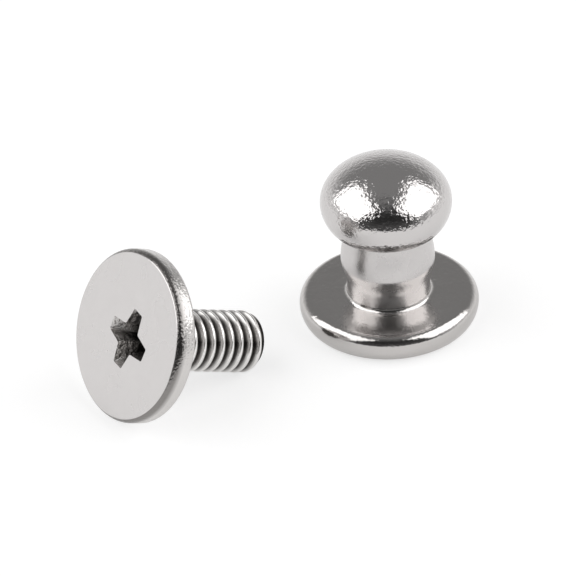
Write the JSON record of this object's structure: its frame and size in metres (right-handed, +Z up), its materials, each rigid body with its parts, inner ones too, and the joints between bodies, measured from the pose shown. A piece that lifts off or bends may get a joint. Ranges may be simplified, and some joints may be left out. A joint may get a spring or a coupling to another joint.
{
  "type": "binding barrel screw",
  "caption": "Plated binding screw and its ball post, unscrewed: a flat round head with a cross recess on a threaded shank, beside a flanged, waisted post topped by a ball.",
  "frame": {"origin": "centre of the underside of the post's flange, on the surface that both pieces rest on", "axes": "+Z up the post's axis towards the ball; +X from the screw towards the post, along the pair; +Y across the pair"},
  "size_m": [0.0246, 0.0187, 0.011],
  "materials": {
    "post_plating": "bright nickel plate, tumbled",
    "screw_plating": "bright nickel plate, as rolled and headed"
  },
  "bodies": {
    "root": {"ball_post": "post_plating", "flat_head_screw": "screw_plating"}
  },
  "joints": []
}
